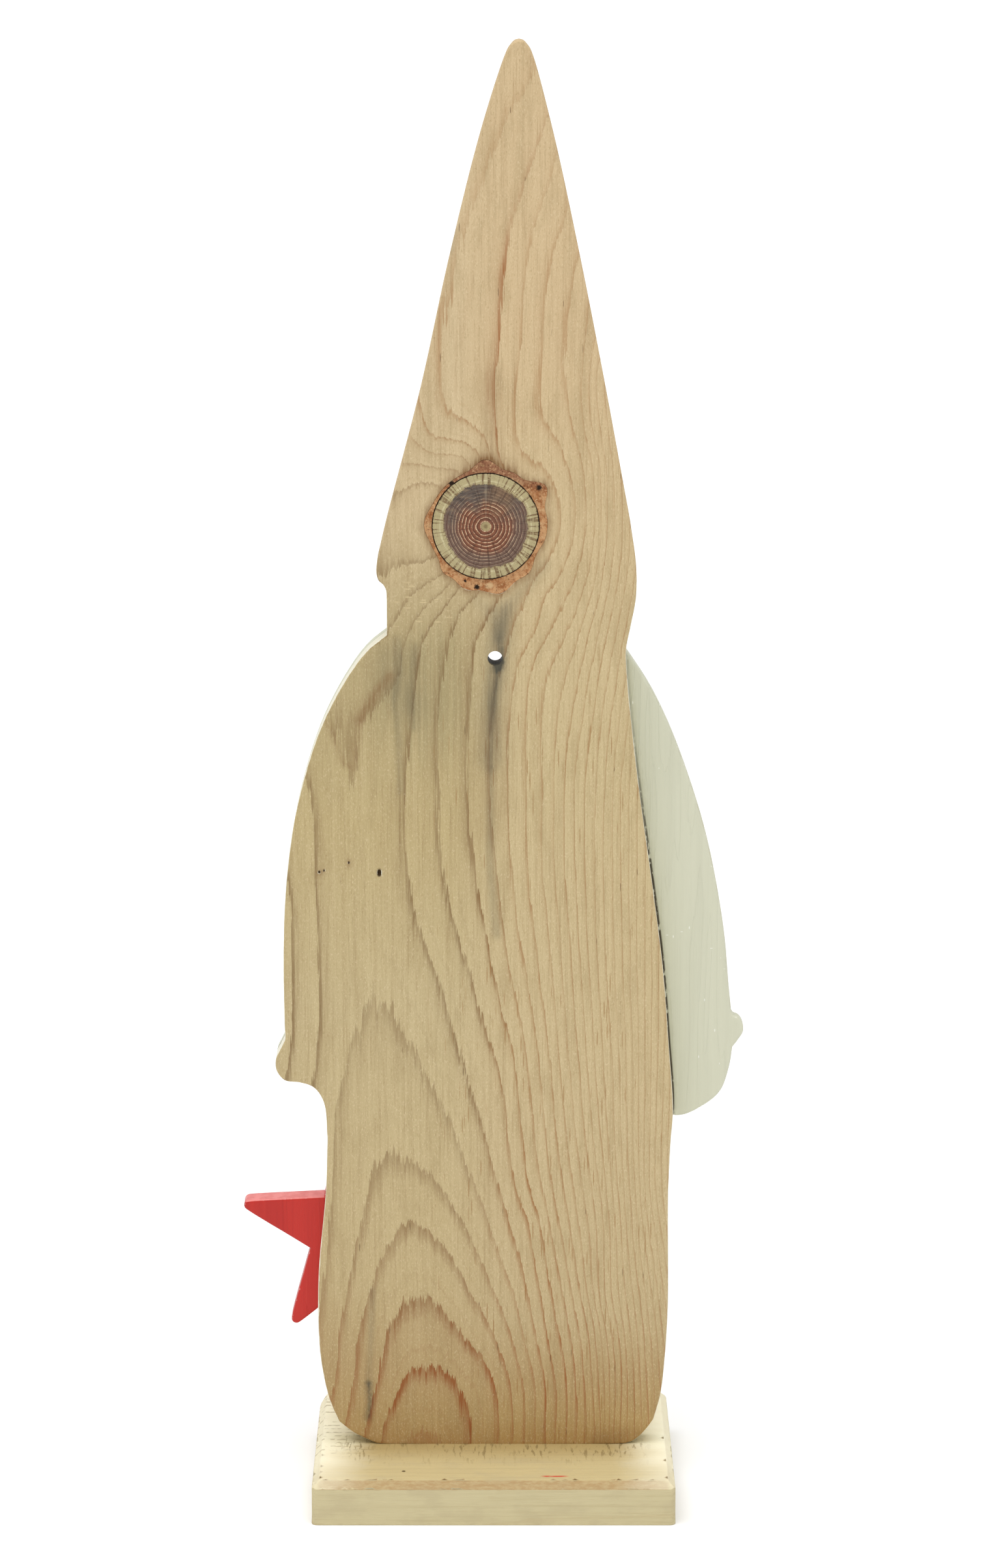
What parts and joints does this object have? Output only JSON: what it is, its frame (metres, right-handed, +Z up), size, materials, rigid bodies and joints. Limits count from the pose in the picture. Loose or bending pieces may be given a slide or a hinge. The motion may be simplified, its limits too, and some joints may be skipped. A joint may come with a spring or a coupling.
{
  "type": "wooden tomte figurine",
  "caption": "Flat sawn-pine gnome with a tall pointed hat, white sleeves, a beard and a red star, standing on a chamfered plinth.",
  "frame": {"origin": "centre of the plinth's underside", "axes": "+Z up the figure, -Y the way the figure faces, +X its own left hand, the side with the star"},
  "size_m": [0.1731, 0.09, 0.5015],
  "materials": {
    "plinth_wood": "planed pale pine, bare",
    "board_wood": "sanded knotty pine, bare on the back, painted on the front",
    "knot_wood": "dark end grain of a dead branch",
    "bark": "crumbly orange-brown bark",
    "white_paint": "thin off-white paint on pine",
    "beard_paint": "matt white paint on pine",
    "nose_wood": "turned and waxed birch",
    "red_paint": "satin red paint on pine",
    "screw_steel": "zinc plated",
    "peg_wood": "plain birch dowel"
  },
  "bodies": {
    "root": {"plinth": "plinth_wood", "body_board": "board_wood", "knot_core": "knot_wood", "bark_ring": "bark", "right_arm": "white_paint", "left_arm": "white_paint", "beard": "beard_paint", "nose": "nose_wood", "star": "red_paint", "plinth_screws": "screw_steel", "arm_pegs": "peg_wood", "star_pegs": "peg_wood", "beard_pegs": "peg_wood", "nose_peg": "peg_wood"}
  },
  "joints": []
}
